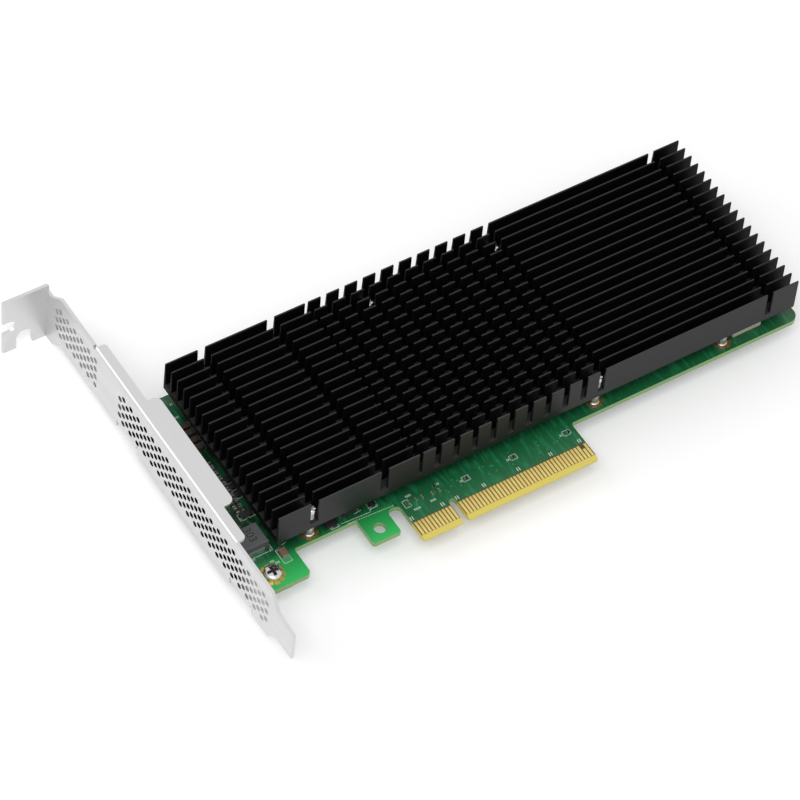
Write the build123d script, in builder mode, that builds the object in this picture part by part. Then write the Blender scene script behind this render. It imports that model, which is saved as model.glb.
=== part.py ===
from build123d import *
import os

# Low-profile adapter card: a bus board with an x8 edge connector, a finned heatsink over
# its switch chip and drive sockets, and a full-height perforated slot bracket.
# Frame: origin at the centre of the key notch, on the finger tip line, at the board's
# solder face. X runs along the card away from the bracket, Y from the finger tip to the
# top edge, Z out of the component side. Millimetres.

os.makedirs("parts", exist_ok=True)

# board
board_thick = 1.57
board_left = -57.15
board_right = 110.05
board_top = 68.9
front_edge = 12.5            # front edge right of the fingers
left_recess = 13.15          # front edge between ear and tab
ear_right = -41.55
ear_bottom = 4.85
tab_left = -23.75
tab_right = -15.8
tab_bottom = 4.95
finger_left = -12.15
finger_right = 39.15
slot_top = 12.0              # gap between tab and fingers
notch_width = 1.9
notch_top = 7.4
bevel_run = 1.4
bevel_drop = 0.5
tab_hole_x, tab_hole_y, tab_hole_radius = -19.9, 8.4, 1.6
board_screw_hole = 1.7       # clearance holes over the bracket's feet

# edge contacts: pitch of the bus, short group left of the notch, long group right
pitch = 1.0
pad_width = 0.7
pad_low, pad_high = 1.45, 5.65
short_pad_high = 4.3
pad_thick = 0.05
first_pad = 1.5              # centre of the first pad on either side of the notch
short_count, long_count = 11, 38
short_pad_place = 37         # the presence contact, second from the far end

# heatsink
sink_left, sink_right = -46.1, 108.35
sink_bottom = 5.6
base_thick = 2.1
sink_top = 15.4
fin_count = 19
fin_pitch = 2.998
rear_fin_y = 68.28
fin_tip, fin_root = 0.7, 1.0
slot_wide, slot_pin, slot_narrow = 2.2, 1.75, 1.0
pin_pitch = 5.4
pin_zone_start = -4.85       # right wall of the first, narrow cross slot
pin_slots = 10
wide_slots = (-35.8, -15.8)
end_slot = 99.6

# spring screws that hold the heatsink, each where a cross slot meets a fin gap
front_gap_y = rear_fin_y - (fin_count - 1.5) * fin_pitch
rear_gap_y = rear_fin_y - 1.5 * fin_pitch
screw_slots = (3, pin_slots)
slot_x = [pin_zone_start + k * pin_pitch - slot_pin / 2 for k in range(pin_slots + 1)]
screw_places = ((wide_slots[0], front_gap_y), (slot_x[screw_slots[1]], front_gap_y),
                (slot_x[screw_slots[0]], rear_gap_y), (slot_x[screw_slots[1]], rear_gap_y))
shank_radius = 0.6
shank_end_gap = 1.0          # the shank stops short of the board
thread_clearance = 0.03
screw_hole_radius = 0.95
head_radius, head_thick = 1.3, 1.2
spring_radius, spring_wall = 1.2, 0.3
spring_length = 2.6
post_radius = 1.25
spacer_place = (87.7, front_gap_y)
turned_sides = 12            # small turned pieces and their bores are drawn with flats

# bracket
sheet = 0.86
plate_face = -59.05          # outer face of the plate
plate_low, plate_wide = -2.16, 18.42
bracket_length = 120.02
tongue_tip = -14.1
tongue_low, tongue_high, tongue_narrow = 1.7, 11.6, 10.9
shoulder_low, shoulder_high = -3.3, -6.9
mount_face = tongue_tip + bracket_length - sheet
offset_start, offset_end = mount_face - 7.06, mount_face - 2.36
neck_low, neck_high = -5.8, 12.2
mount_low, mount_high = -5.6, 13.8
mount_end = -71.3
screw_slot_z, screw_slot_width, screw_slot_end = 3.7, 4.0, -67.5
rail_notch_x, rail_notch_width, rail_notch_top = -65.25, 4.7, 0.2
lip_top_end, lip_low_end = 80.5, 12.8
lip_depth = 3.0
lip_relief = 0.8             # relief cut above the lip
flange_top_end, flange_low_end = 60.1, 23.4
flange_depth = 6.15
foot_width, foot_reach = 9.0, -45.6
foot_places = (9.2, 64.0)
foot_relief = 0.6
bracket_screw_x = -50.05
bend_radius = 0.8
lip_corner, flange_corner, foot_corner = 1.0, 1.8, 1.6

# bracket screws
pan_radius, pan_thick = 2.3, 1.7
pan_edge_down, pan_edge_in = 0.6, 0.9
pan_shank = 1.2
pan_tail = 0.6               # screw end below the foot

# switch chip and drive sockets under the heatsink
chip_place = (29.4, 41.0)
chip_side, carrier_thick = 31.0, 1.1
lid_side, lid_thick = 26.0, 2.2
drive_rows = (26.4, 55.2)
socket_x, socket_depth, socket_width, socket_height = 95.3, 8.6, 21.9, 3.2
drive_post_x = 52.8
socket_slot_floor, socket_slot_high = 1.15, 0.9
socket_wall = 0.8            # left at either end of the slot
socket_slot_depth = 5.4
drive_post_base, drive_post_base_high = 2.2, 1.2
drive_post_neck, drive_post_neck_high = 1.4, 0.8
drive_pad_length, drive_pad_width, drive_pad_thick = 32.0, 17.0, 1.0

# small parts on the component side
inductor_side, inductor_narrow, inductor_height = 7.0, 6.4, 3.2
terminal_thick, terminal_wide, terminal_high = 0.3, 4.6, 1.1
inductor_places = ((-50.3, 19.7), (-51.7, 52.5))
controller_places = ((-52.6, 44.0), (-52.6, 28.0))
controller_size = (4.0, 4.0, 0.9)
memory_place = (-24.4, 17.8)
memory_size = (3.9, 4.9, 1.4)
lead_size, lead_pitch = (0.9, 0.42, 0.55), 1.27
crystal_size = (3.2, 2.5, 0.8)
bulk_size = (3.2, 1.6, 1.6)
ear_capacitor_size = (1.6, 3.2, 1.3)
lane_size = (0.5, 1.0, 0.5)
strip_size, strip_pitch = (0.8, 1.5, 0.8), (1.5, 1.9)
resistor_size = (1.0, 0.5, 0.4)
light_size = (0.8, 1.6, 0.7)
crystal_place = (-30.0, 15.4)
bulk_places = ((-46.4, 57.6), (-46.4, 55.2), (-46.4, 52.8), (-46.4, 50.4))
ear_capacitor_place = (-45.2, 14.6)
lane_places = ((-9.9, 11.2), (-7.8, 11.2), (-6.0, 11.2), (-3.3, 10.8), (-1.2, 10.8))
strip_x, strip_y = -47.4, 37.0
edge_places = ((6.8, 10.9), (20.6, 10.7), (37.0, 10.6), (-1.6, 12.6))
light_places = ((-55.6, 60.0), (-55.6, 57.0))

# perforation: staggered columns of three and four holes
hole_radius, hole_sides = 0.93, 6
column_pitch = 1.754
row_pitch = 3.18
hole_mid_z = 6.87
column_zero_y = 67.79
top_margin = 5.5             # from the last column to the mounting tab
low_columns, high_first = 40, 7
high_last = int((mount_face - top_margin - column_zero_y) / column_pitch)


def block(width, depth, height):
    # a part standing on the component face, centred on the current location
    Box(width, depth, height, align=(Align.CENTER, Align.CENTER, Align.MIN))


def on_board(places):
    return Locations(*[(x, y, board_thick) for x, y in places])


def turned(places, radius, mode=Mode.ADD):
    # the section of a small turned piece, or of its bore, at each place
    with Locations(*places):
        RegularPolygon(radius, turned_sides, mode=mode)


def corner(sketch, x, y):
    # the vertex of a flat outline nearest to a point
    return sketch.vertices().sort_by_distance((x, y, 0))[0]


def cut_rectangle(x_low, x_high, y_low, y_high, mode=Mode.SUBTRACT):
    with Locations(((x_low + x_high) / 2, (y_low + y_high) / 2)):
        Rectangle(x_high - x_low, y_high - y_low, mode=mode)


# circuit board: body, ear for the bracket screw, retention tab and finger tongue
with BuildPart() as circuit_board:
    with BuildSketch() as outline:
        cut_rectangle(board_left, board_right, front_edge, board_top, Mode.ADD)
        cut_rectangle(board_left, ear_right, ear_bottom, front_edge + 1, Mode.ADD)
        cut_rectangle(tab_left, finger_right, 0, front_edge + 1, Mode.ADD)
        cut_rectangle(ear_right, tab_left, 0, left_recess)
        cut_rectangle(tab_left, tab_right, -1, tab_bottom)
        cut_rectangle(tab_right, finger_left, -1, slot_top)
        cut_rectangle(-notch_width / 2, notch_width / 2, -1, notch_top - notch_width / 2)
        with Locations((0, notch_top - notch_width / 2)):
            Circle(notch_width / 2, mode=Mode.SUBTRACT)
        with Locations((tab_hole_x, tab_hole_y)):
            Circle(tab_hole_radius, mode=Mode.SUBTRACT)
        with Locations(*[(bracket_screw_x, y) for y in foot_places]):
            RegularPolygon(board_screw_hole, turned_sides, mode=Mode.SUBTRACT)
        for x, y, radius in (
            (board_left, ear_bottom, 1.0), (ear_right, ear_bottom, 1.3), (ear_right, left_recess, 0.6),
            (tab_left, left_recess, 0.8), (tab_left, tab_bottom, 0.9), (tab_right, tab_bottom, 0.5),
            (tab_right, slot_top, 1.6), (finger_left, slot_top, 1.6), (finger_left, 0, 0.8),
            (finger_right, 0, 0.5), (finger_right, front_edge, 0.9), (board_right, front_edge, 2.6),
            (board_right, board_top, 2.6), (board_left, board_top, 1.0),
        ):
            fillet(corner(outline, x, y), radius)
    extrude(amount=board_thick)
    # the finger tip is bevelled on both faces
    with BuildSketch(Plane.YZ.offset(finger_left - 1)):
        with BuildLine():
            Polyline((-1, board_thick), (bevel_run, board_thick), (0, board_thick - bevel_drop),
                     (-1, board_thick - 2 * bevel_drop), close=True)
        make_face()
        with BuildLine():
            Polyline((-1, 0), (bevel_run, 0), (0, bevel_drop), (-1, 2 * bevel_drop), close=True)
        make_face()
    extrude(amount=finger_right - finger_left + 2, mode=Mode.SUBTRACT)


def contact_rows(underside):
    z = -pad_thick if underside else board_thick
    tall = [(-first_pad - pitch * k) for k in range(short_count)]
    tall += [(first_pad + pitch * k) for k in range(long_count) if k != short_pad_place - 1 or underside]
    mid = (pad_low + pad_high) / 2
    with Locations(*[(x, mid, z) for x in tall]):
        block(pad_width, pad_high - pad_low, pad_thick)
    if not underside:
        x = first_pad + pitch * (short_pad_place - 1)
        with Locations((x, (pad_low + short_pad_high) / 2, z)):
            block(pad_width, short_pad_high - pad_low, pad_thick)


with BuildPart() as contacts_component_side:
    contact_rows(False)

with BuildPart() as contacts_solder_side:
    contact_rows(True)

# heatsink: one extrusion, then sawn across down to its base
base_top = sink_bottom + base_thick
front_fin_y = rear_fin_y - (fin_count - 1) * fin_pitch
with BuildPart() as heat_sink:
    with BuildSketch(Plane.YZ.offset(sink_left)):
        with Locations(((front_fin_y + rear_fin_y) / 2, sink_bottom + base_thick / 2)):
            Rectangle(rear_fin_y - front_fin_y + fin_root, base_thick)
        for k in range(fin_count):
            y = front_fin_y + k * fin_pitch
            with BuildLine():
                Polyline((y - fin_root / 2, base_top), (y + fin_root / 2, base_top),
                         (y + fin_tip / 2, sink_top), (y - fin_tip / 2, sink_top), close=True)
            make_face()
    extrude(amount=sink_right - sink_left)
    with BuildSketch(Plane.XY.offset(base_top)):
        middle = (front_fin_y + rear_fin_y) / 2
        across = rear_fin_y - front_fin_y + 4
        for x in wide_slots:
            with Locations((x, middle)):
                Rectangle(slot_wide, across)
        with Locations((pin_zone_start - slot_narrow / 2, middle)):
            Rectangle(slot_narrow, across)
        for x in slot_x[1:]:
            with Locations((x, middle)):
                Rectangle(slot_pin, across)
        with Locations((end_slot, middle)):
            Rectangle(slot_pin, across)
    extrude(amount=sink_top - base_top + 1, mode=Mode.SUBTRACT)
    with BuildSketch(Plane.XY.offset(sink_bottom)):
        turned(screw_places, screw_hole_radius)
    extrude(amount=base_thick, mode=Mode.SUBTRACT)

# posts on the board that the heatsink stands on, four of them bored for the screws
with BuildPart() as heatsink_posts:
    with BuildSketch(Plane.XY.offset(board_thick)):
        turned((*screw_places, spacer_place), post_radius)
        turned(screw_places, shank_radius + thread_clearance, Mode.SUBTRACT)
    extrude(amount=sink_bottom - board_thick)

# springs round the screws, drawn as sleeves
spring_top = base_top + spring_length
with BuildPart() as heatsink_springs:
    with BuildSketch(Plane.XY.offset(base_top)):
        turned(screw_places, spring_radius)
        turned(screw_places, spring_radius - spring_wall, Mode.SUBTRACT)
    extrude(amount=spring_length)

with BuildPart() as heatsink_screws:
    with BuildSketch(Plane.XY.offset(spring_top)):
        turned(screw_places, head_radius)
    extrude(amount=head_thick)
    with BuildSketch(Plane.XY.offset(board_thick + shank_end_gap)):
        turned(screw_places, shank_radius)
    extrude(amount=spring_top - board_thick - shank_end_gap)

# bracket: one folded sheet with tongue, offset mounting tab, stiffening lip and two feet
plate_high = plate_low + plate_wide
plate_inner = plate_face + sheet
with BuildPart() as bracket:
    with BuildSketch(Plane.YZ.offset(plate_face)):
        with BuildLine():
            Polyline(
                (mount_face + sheet, neck_low), (offset_end, neck_low), (offset_start, plate_low),
                (shoulder_low, plate_low), (shoulder_high, tongue_low), (tongue_tip, tongue_low),
                (tongue_tip, tongue_narrow), (shoulder_high, tongue_high), (shoulder_low - 0.6, plate_high),
                (offset_start, plate_high), (offset_end, neck_high), (mount_face + sheet, neck_high),
                close=True)
        make_face()
        # the strip below each foot is folded away with it, between two relief cuts
        for y in foot_places:
            cut_rectangle(y - foot_width / 2 - foot_relief, y + foot_width / 2 + foot_relief,
                          plate_low - 1, -sheet)
            for side in (-1, 1):
                with Locations((y + side * (foot_width + foot_relief) / 2, -sheet / 2)):
                    Rectangle(foot_relief, sheet + 0.4, mode=Mode.SUBTRACT)
        cut_rectangle(lip_top_end, lip_top_end + lip_relief, plate_high - sheet - 0.2, plate_high + 1)
    extrude(amount=sheet)
    # mounting tab, folded outward at the top
    with BuildSketch(Plane.XZ.offset(-mount_face - sheet)):
        cut_rectangle(mount_end, plate_face + sheet, mount_low, mount_high, Mode.ADD)
        cut_rectangle(mount_end - 1, screw_slot_end - screw_slot_width / 2,
                      screw_slot_z - screw_slot_width / 2, screw_slot_z + screw_slot_width / 2)
        with Locations((screw_slot_end - screw_slot_width / 2, screw_slot_z)):
            Circle(screw_slot_width / 2, mode=Mode.SUBTRACT)
        cut_rectangle(rail_notch_x - rail_notch_width / 2, rail_notch_x + rail_notch_width / 2,
                      mount_low - 1, rail_notch_top - rail_notch_width / 2)
        with Locations((rail_notch_x, rail_notch_top - rail_notch_width / 2)):
            Circle(rail_notch_width / 2, mode=Mode.SUBTRACT)
    extrude(amount=sheet)
    # stiffening lip along the component side, wider in the middle
    with BuildSketch(Plane.XY.offset(plate_high - sheet)) as lip:
        cut_rectangle(plate_face, plate_face + lip_depth, lip_low_end, lip_top_end, Mode.ADD)
        cut_rectangle(plate_face, plate_face + flange_depth, flange_low_end, flange_top_end, Mode.ADD)
        fillet([corner(lip, plate_face + flange_depth, flange_low_end),
                corner(lip, plate_face + flange_depth, flange_top_end)], flange_corner)
        fillet([corner(lip, plate_face + lip_depth, lip_low_end),
                corner(lip, plate_face + lip_depth, lip_top_end)], lip_corner)
    extrude(amount=sheet)
    # the lip's fold is round outside, and the raw edge beyond it stays square
    with BuildSketch(Plane.XZ.offset(-lip_top_end)):
        cut_rectangle(plate_face, plate_face + bend_radius, plate_high - bend_radius, plate_high, Mode.ADD)
        with Locations((plate_face + bend_radius, plate_high - bend_radius)):
            Circle(bend_radius, mode=Mode.SUBTRACT)
    extrude(amount=lip_top_end - lip_low_end, mode=Mode.SUBTRACT)
    # feet under the board
    with BuildSketch(Plane.XY.offset(-sheet)) as feet:
        for y in foot_places:
            cut_rectangle(plate_face, foot_reach, y - foot_width / 2, y + foot_width / 2, Mode.ADD)
        for y in foot_places:
            for side in (-1, 1):
                fillet(corner(feet, foot_reach, y + side * foot_width / 2), foot_corner)
        turned([(bracket_screw_x, y) for y in foot_places], pan_shank + thread_clearance, Mode.SUBTRACT)
    extrude(amount=sheet)
    # the tab's and the feet's folds are round outside too
    top_fold = bracket.edges().filter_by(Axis.Z).filter_by(
        lambda e: abs(e.center().Y - mount_face - sheet) < 0.01 and abs(e.center().X - plate_inner) < 0.01)
    foot_fold = bracket.edges().filter_by(Axis.Y).filter_by(
        lambda e: abs(e.center().Z + sheet) < 0.01 and abs(e.center().X - plate_face) < 0.01)
    fillet(top_fold, bend_radius)
    fillet(foot_fold, bend_radius)
    # perforation
    with BuildSketch(Plane.YZ.offset(plate_face)):
        for column in range(-low_columns, high_last + 1):
            if 0 < column < high_first:
                continue
            rows = 3 if column % 2 == 0 else 4
            y = column_zero_y + column * column_pitch
            with Locations((y, hole_mid_z)):
                with GridLocations(0, row_pitch, 1, rows):
                    RegularPolygon(hole_radius, hole_sides)
    extrude(amount=sheet, mode=Mode.SUBTRACT)

# pan-head screws that hold the board to the feet
with BuildPart() as bracket_screws:
    with on_board([(bracket_screw_x, y) for y in foot_places]):
        Cylinder(pan_radius, pan_thick, align=(Align.CENTER, Align.CENTER, Align.MIN))
    chamfer(bracket_screws.faces().filter_by(
        lambda f: abs(f.center().Z - board_thick - pan_thick) < 0.01).edges(), pan_edge_down, pan_edge_in)
    with BuildSketch(Plane.XY.offset(-sheet - pan_tail)):
        turned([(bracket_screw_x, y) for y in foot_places], pan_shank)
    extrude(amount=sheet + pan_tail + board_thick)

# switch chip: carrier, metal lid and the pad that carries its heat to the heatsink
with BuildPart() as switch_chip_carrier:
    with on_board([chip_place]):
        block(chip_side, chip_side, carrier_thick)

with BuildPart() as switch_chip_lid:
    with Locations((*chip_place, board_thick + carrier_thick)):
        block(lid_side, lid_side, lid_thick)
    chamfer(switch_chip_lid.faces().sort_by(Axis.Z)[-1].edges(), 0.4)

pad_bottom = board_thick + carrier_thick + lid_thick
with BuildPart() as chip_thermal_pad:
    with Locations((*chip_place, pad_bottom)):
        block(lid_side - 2, lid_side - 2, sink_bottom - pad_bottom)

# sockets for two drives, their hold-down posts and the pads above them
with BuildPart() as drive_sockets:
    with on_board([(socket_x, y) for y in drive_rows]):
        block(socket_depth, socket_width, socket_height)
    with Locations(*[(socket_x - socket_depth / 2, y, board_thick + socket_slot_floor) for y in drive_rows]):
        Box(2 * socket_slot_depth, socket_width - 2 * socket_wall, socket_slot_high,
            align=(Align.CENTER, Align.CENTER, Align.MIN), mode=Mode.SUBTRACT)

with BuildPart() as drive_posts:
    with BuildSketch(Plane.XY.offset(board_thick)):
        turned([(drive_post_x, y) for y in drive_rows], drive_post_base)
    extrude(amount=drive_post_base_high)
    with BuildSketch(Plane.XY.offset(board_thick + drive_post_base_high)):
        turned([(drive_post_x, y) for y in drive_rows], drive_post_neck)
    extrude(amount=drive_post_neck_high)

with BuildPart() as drive_thermal_pads:
    with Locations(*[((drive_post_x + socket_x) / 2, y, sink_bottom) for y in drive_rows]):
        Box(drive_pad_length, drive_pad_width, drive_pad_thick, align=(Align.CENTER, Align.CENTER, Align.MAX))

# moulded power inductors with their end terminals
with BuildPart() as power_inductors:
    with on_board(inductor_places):
        block(inductor_side, inductor_narrow, inductor_height)
    chamfer(power_inductors.faces().filter_by(
        lambda f: abs(f.center().Z - board_thick - inductor_height) < 0.01).edges(), 0.3)

with BuildPart() as inductor_terminals:
    for x, y in inductor_places:
        for side in (-1, 1):
            with Locations((x, y + side * (inductor_narrow + terminal_thick) / 2, board_thick)):
                block(terminal_wide, terminal_thick, terminal_high)

with BuildPart() as power_controllers:
    with on_board(controller_places):
        block(*controller_size)

with BuildPart() as memory_chip:
    with on_board([memory_place]):
        block(*memory_size)

with BuildPart() as memory_leads:
    for side in (-1, 1):
        lead_x = memory_place[0] + side * (memory_size[0] + lead_size[0]) / 2
        with Locations((lead_x, memory_place[1], board_thick)):
            with GridLocations(0, lead_pitch, 1, 4):
                block(*lead_size)

with BuildPart() as clock_crystal:
    with on_board([crystal_place]):
        block(*crystal_size)

with BuildPart() as bulk_capacitors:
    with on_board(bulk_places):
        block(*bulk_size)

with BuildPart() as ear_capacitor:
    with on_board([ear_capacitor_place]):
        block(*ear_capacitor_size)

with BuildPart() as lane_capacitors:
    with on_board(lane_places):
        block(*lane_size)

with BuildPart() as strip_capacitors:
    with Locations((strip_x, strip_y, board_thick)):
        with GridLocations(*strip_pitch, 2, 9):
            block(*strip_size)

with BuildPart() as edge_resistors:
    with on_board(edge_places):
        block(*resistor_size)

with BuildPart() as status_lights:
    with on_board(light_places):
        block(*light_size)

for part, label in (
    (circuit_board, "circuit_board"), (contacts_component_side, "contacts_component_side"),
    (contacts_solder_side, "contacts_solder_side"), (heat_sink, "heat_sink"),
    (heatsink_posts, "heatsink_posts"), (heatsink_springs, "heatsink_springs"),
    (heatsink_screws, "heatsink_screws"), (bracket, "bracket"), (bracket_screws, "bracket_screws"),
    (switch_chip_carrier, "switch_chip_carrier"), (switch_chip_lid, "switch_chip_lid"),
    (chip_thermal_pad, "chip_thermal_pad"), (drive_sockets, "drive_sockets"), (drive_posts, "drive_posts"),
    (drive_thermal_pads, "drive_thermal_pads"), (power_inductors, "power_inductors"),
    (inductor_terminals, "inductor_terminals"), (power_controllers, "power_controllers"),
    (memory_chip, "memory_chip"), (memory_leads, "memory_leads"), (clock_crystal, "clock_crystal"),
    (bulk_capacitors, "bulk_capacitors"), (ear_capacitor, "ear_capacitor"),
    (lane_capacitors, "lane_capacitors"), (strip_capacitors, "strip_capacitors"),
    (edge_resistors, "edge_resistors"), (status_lights, "status_lights"),
):
    part.part.label = label
    export_step(part.part, f"parts/{label}.step")
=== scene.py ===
# %% [markdown]
# # A server adapter card in a studio picture
# The card is a long green circuit board with a gold edge connector, a black finned
# heatsink and a folded, perforated steel bracket. Its solids come from CAD as a fixed
# frame. This lesson gives every solid its finish, adds the small things that CAD leaves
# out, such as ink, solder, coil springs and screw recesses, and sets up the camera.

# %% Load the fixed frame
import math

import bpy
import numpy as np
from mathutils import Matrix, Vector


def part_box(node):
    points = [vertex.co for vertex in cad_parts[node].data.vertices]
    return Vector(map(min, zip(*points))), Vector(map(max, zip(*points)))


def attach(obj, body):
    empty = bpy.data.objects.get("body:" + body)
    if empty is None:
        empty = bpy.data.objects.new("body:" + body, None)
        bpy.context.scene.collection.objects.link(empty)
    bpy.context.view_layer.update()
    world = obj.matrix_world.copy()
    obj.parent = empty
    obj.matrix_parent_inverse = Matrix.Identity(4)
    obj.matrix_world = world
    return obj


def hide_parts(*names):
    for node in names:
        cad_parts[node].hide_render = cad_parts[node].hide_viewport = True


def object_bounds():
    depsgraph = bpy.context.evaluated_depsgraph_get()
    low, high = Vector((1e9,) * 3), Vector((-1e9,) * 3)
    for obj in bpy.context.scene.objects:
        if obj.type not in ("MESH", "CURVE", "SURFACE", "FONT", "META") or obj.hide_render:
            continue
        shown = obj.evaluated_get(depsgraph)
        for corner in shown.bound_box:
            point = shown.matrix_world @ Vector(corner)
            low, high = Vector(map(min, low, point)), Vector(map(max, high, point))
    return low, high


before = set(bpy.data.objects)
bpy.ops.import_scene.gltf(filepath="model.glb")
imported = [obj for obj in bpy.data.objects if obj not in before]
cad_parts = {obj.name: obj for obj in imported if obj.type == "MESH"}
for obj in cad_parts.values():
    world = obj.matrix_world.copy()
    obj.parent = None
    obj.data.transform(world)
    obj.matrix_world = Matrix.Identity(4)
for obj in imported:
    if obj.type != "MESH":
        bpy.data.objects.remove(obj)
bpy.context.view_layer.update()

MM = 0.001                       # the scene is in metres, the sizes below in millimetres
print("solids:", len(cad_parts))

# %% [markdown]
# ## The camera
# The photograph was taken from the left, the front and above, with a long lens, so that
# edges that are parallel stay nearly parallel. The card's known sizes, such as the pitch
# of its contacts, give the angles, the distance and the lens. A camera looks along its
# own -Z with +Y up, so its matrix is made of the right, up and backward directions.

# %% Camera
FRAME_PIXELS, SENSOR_MM = 800, 36.0
azimuth, elevation, roll = (math.radians(a) for a in (-37.738, 51.852, 7.044))
aim_at, distance, focal_pixels = np.array([6.226, 40.459, 0.0]), 1023.846, 4084.497

look = np.array([-math.cos(elevation) * math.sin(azimuth),
                 math.cos(elevation) * math.cos(azimuth), -math.sin(elevation)])
across = np.cross(look, (0, 0, 1))
across /= np.linalg.norm(across)
upright = np.cross(across, look)
right = math.cos(roll) * across + math.sin(roll) * upright
up = math.cos(roll) * upright - math.sin(roll) * across

camera = bpy.data.objects.new("studio_camera", bpy.data.cameras.new("studio_camera"))
bpy.context.scene.collection.objects.link(camera)
camera.data.sensor_width = SENSOR_MM
camera.data.lens = focal_pixels / FRAME_PIXELS * SENSOR_MM
camera.data.clip_start, camera.data.clip_end = 0.05, 20
pose = np.eye(4)
pose[:3, 0], pose[:3, 1], pose[:3, 2] = right, up, -look
pose[:3, 3] = (aim_at - look * distance) * MM
camera.matrix_world = Matrix(pose)
bpy.context.scene.camera = camera
print("lens:", round(camera.data.lens, 2), "mm, from", np.round(pose[:3, 3], 3), "m")

# %% [markdown]
# ## Two helpers for materials
# Colours are read off as sRGB hex values, but a shader counts in linear light, so one
# function turns them. A second small function adds any node with its settings and its
# inputs, where an input is a value, a socket or a whole node.


# %% Colour and node helpers
def linear(code):
    """A hex colour as linear light: divide by 12.92 near black, else the 2.4 power curve."""
    srgb = np.array([int(code[k:k + 2], 16) for k in (1, 3, 5)]) / 255
    light = np.where(srgb <= 0.04045, srgb / 12.92, ((srgb + 0.055) / 1.055) ** 2.4)
    return (*light.tolist(), 1.0)


def add(tree, kind, inputs=None, **settings):
    """Adds one node; inputs maps a socket's name or number to a value, socket or node."""
    node = tree.nodes.new("ShaderNode" + kind)
    for name, value in settings.items():
        setattr(node, name, value)
    for name, value in (inputs or {}).items():
        if isinstance(value, bpy.types.Node):
            value = value.outputs[0]
        if isinstance(value, bpy.types.NodeSocket):
            tree.links.new(value, node.inputs[name])
        else:
            node.inputs[name].default_value = value
    return node


def finish(name, colour, metallic=0.0, roughness=0.5, **sockets):
    """Starts a material: a Principled shader with its plain values, and its node tree."""
    made = bpy.data.materials.new(name)
    made.use_nodes = True
    tree = made.node_tree
    shader = tree.nodes["Principled BSDF"]
    shader.inputs["Base Color"].default_value = linear(colour)
    shader.inputs["Metallic"].default_value = metallic
    shader.inputs["Roughness"].default_value = roughness
    for socket, value in sockets.items():
        shader.inputs[socket.replace("_", " ")].default_value = value
    return made, tree, shader


def millimetres(tree):
    """The surface point in millimetres, so that every pattern below is in real sizes."""
    place = add(tree, "TexCoord").outputs["Object"]
    return add(tree, "VectorMath", {0: place, 3: 1 / MM}, operation="SCALE")


# %% [markdown]
# ## Grain for smooth finishes
# No real surface is one flat colour. Plating, moulded resin and fired ceramic all have a
# fine mottle in colour and gloss. The same recipe does for each, with the grain size in
# millimetres and its strength as values.


# %% A mottled finish
def mottled(name, colour, other, grain, metallic=0.0, roughness=0.5, spread=0.08,
            bump=0.0, stretch=(1, 1, 1), **sockets):
    """Noise with cells about grain mm wide mixes two colours and moves the roughness."""
    made, tree, shader = finish(name, colour, metallic, roughness, **sockets)
    spot = add(tree, "VectorMath", {0: millimetres(tree), 1: stretch}, operation="MULTIPLY")
    noise = add(tree, "TexNoise", {"Vector": spot, "Scale": 1 / grain, "Detail": 3.0})
    mix = add(tree, "MixRGB", {"Fac": noise, "Color1": linear(colour), "Color2": linear(other)})
    tree.links.new(mix.outputs[0], shader.inputs["Base Color"])
    gloss = add(tree, "MapRange", {"Value": noise, "From Min": 0.3, "From Max": 0.7,
                                   "To Min": roughness - spread, "To Max": roughness + spread})
    tree.links.new(gloss.outputs[0], shader.inputs["Roughness"])
    if bump:
        relief = add(tree, "Bump", {"Height": noise, "Strength": bump, "Distance": grain * MM / 10})
        tree.links.new(relief.outputs[0], shader.inputs["Normal"])
    return made


def paint(node, made):
    """Gives a CAD node its finish by its object's own slot; the mesh is left alone."""
    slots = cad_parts[node].material_slots
    for entry in slots:
        entry.link = "OBJECT"
        entry.material = made


# %% [markdown]
# ## The circuit board
# A board is glass cloth in epoxy resin, with copper under a green solder mask. The mask
# is a thin, fairly glossy lacquer. Copper below it makes it lighter, and the bare resin
# shows at the sawn edge, on the bevel and between the gold contacts, where the mask
# stops. The shader tells these apart by the direction of the face and by the place.

# %% Solder mask and laminate
MASK_LOW_Y, FINGER_MIDDLE_X, FINGER_HALF = 5.9, 13.5, 25.7
solder_mask, tree, shader = finish("green_solder_mask", "#23994c", roughness=0.34, IOR=1.5)
point = millimetres(tree)
place = add(tree, "SeparateXYZ", {0: point})
facing = add(tree, "SeparateXYZ", {0: add(tree, "NewGeometry").outputs["Normal"]})
tilt = add(tree, "Math", {0: facing.outputs["Z"]}, operation="ABSOLUTE")
flat = add(tree, "Math", {0: tilt, 1: 0.97}, operation="GREATER_THAN")
slope = add(tree, "Math", {0: tilt, 1: 0.3}, operation="GREATER_THAN")

# the mask darkens into the middle of the board, partly over copper planes, partly as painted shade
# by the heatsink; the ear and the tab hold no copper planes and get a painted light towards the front
# edge
depth = add(tree, "MapRange", {"Value": place.outputs["Y"], "From Min": 11.5, "From Max": 17.0})
mask = add(tree, "MixRGB", {"Fac": depth, "Color1": linear("#176238"),
                            "Color2": linear("#124a2a")})
left = add(tree, "Math", {0: place.outputs["X"], 1: -13.4}, operation="LESS_THAN")
front = add(tree, "MapRange", {"Value": place.outputs["Y"], "From Min": 14.0, "From Max": 12.6})
clear = add(tree, "Math", {0: left, 1: front}, operation="MULTIPLY")
# painted light: the tab and the ear grow lighter towards the front edge
painted_front_light = add(tree, "MapRange", {"Value": place.outputs["Y"], "From Min": 13.0, "From Max": 5.0})
tab_mask_with_painted_light = add(tree, "MixRGB", {"Fac": painted_front_light, "Color1": linear("#1f8a46"),
                                  "Color2": linear("#2fbb5c")})
mask = add(tree, "MixRGB", {"Fac": clear, "Color1": mask, "Color2": tab_mask_with_painted_light})
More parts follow.
